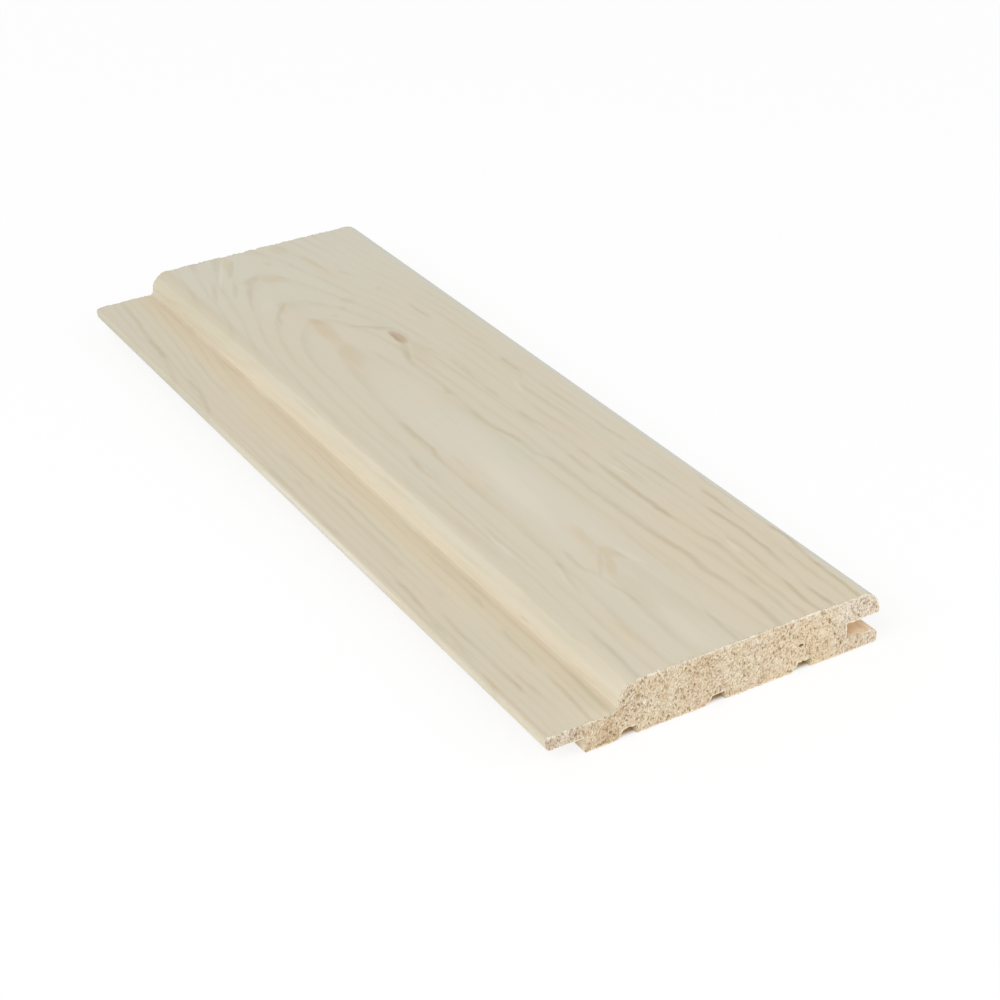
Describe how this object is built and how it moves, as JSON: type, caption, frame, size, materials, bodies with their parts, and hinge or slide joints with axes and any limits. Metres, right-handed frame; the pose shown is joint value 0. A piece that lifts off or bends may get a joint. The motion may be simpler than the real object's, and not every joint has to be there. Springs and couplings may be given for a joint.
{
  "type": "tongue and groove board",
  "caption": "Solid wood panel board with a tongue on one edge, a groove on the other, a stepped shadow-gap ledge and relief grooves along its back.",
  "frame": {"origin": "under the middle of the board, in the plane of its back face", "axes": "+X from the tongue edge to the groove edge, +Y along the board, +Z from the back face to the show face"},
  "size_m": [0.095, 0.275, 0.015],
  "materials": {
    "wood": "planed and unfinished on the faces and edges, sawn at the ends"
  },
  "bodies": {
    "root": {"board": "wood"}
  },
  "joints": []
}
